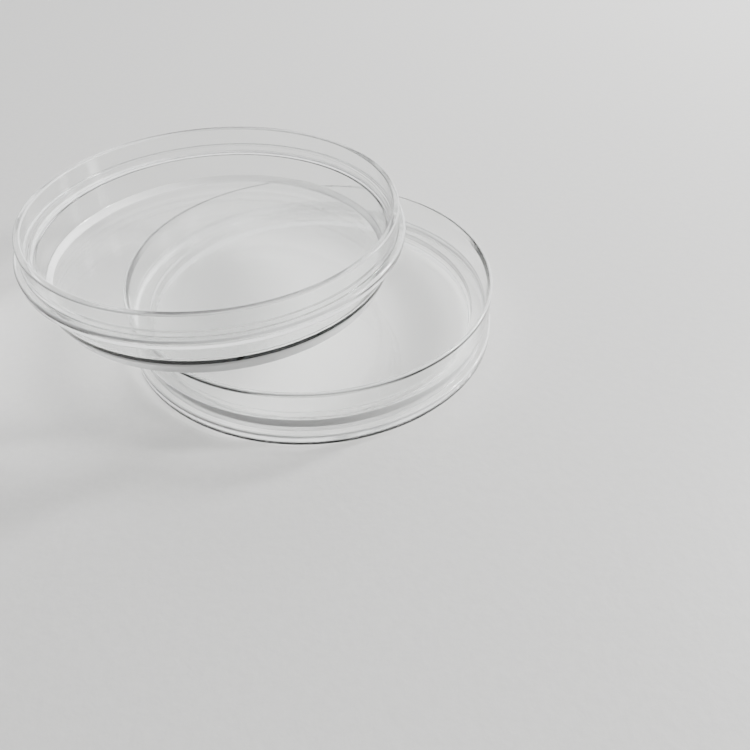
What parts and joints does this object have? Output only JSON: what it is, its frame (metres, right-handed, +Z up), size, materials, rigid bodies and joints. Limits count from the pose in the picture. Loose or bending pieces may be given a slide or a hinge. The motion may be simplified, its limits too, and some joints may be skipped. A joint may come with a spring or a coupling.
{
  "type": "coin capsule",
  "caption": "Round clear plastic coin capsule, opened into a spigot half and a socket half, with flat windows, stepped walls and a coin seat.",
  "frame": {"origin": "on the table plane, midway between the axes of the two halves, at the centre of the base of the bounding box", "axes": "+Z up, along the axes of both halves; +X towards the lower half, away from the upper half; +Y to the back"},
  "size_m": [0.0574, 0.0468, 0.0166],
  "materials": {
    "clear_plastic_lower": "clear, polished",
    "clear_plastic_upper": "clear, polished"
  },
  "bodies": {
    "lower_half": {"lower_half": "clear_plastic_lower"},
    "upper_half": {"upper_half": "clear_plastic_upper"}
  },
  "joints": [
    {"name": "lift", "type": "slide", "parent": "lower_half", "child": "upper_half", "axis": [0, 0, 1], "range_m": [0, 0.03]}
  ]
}
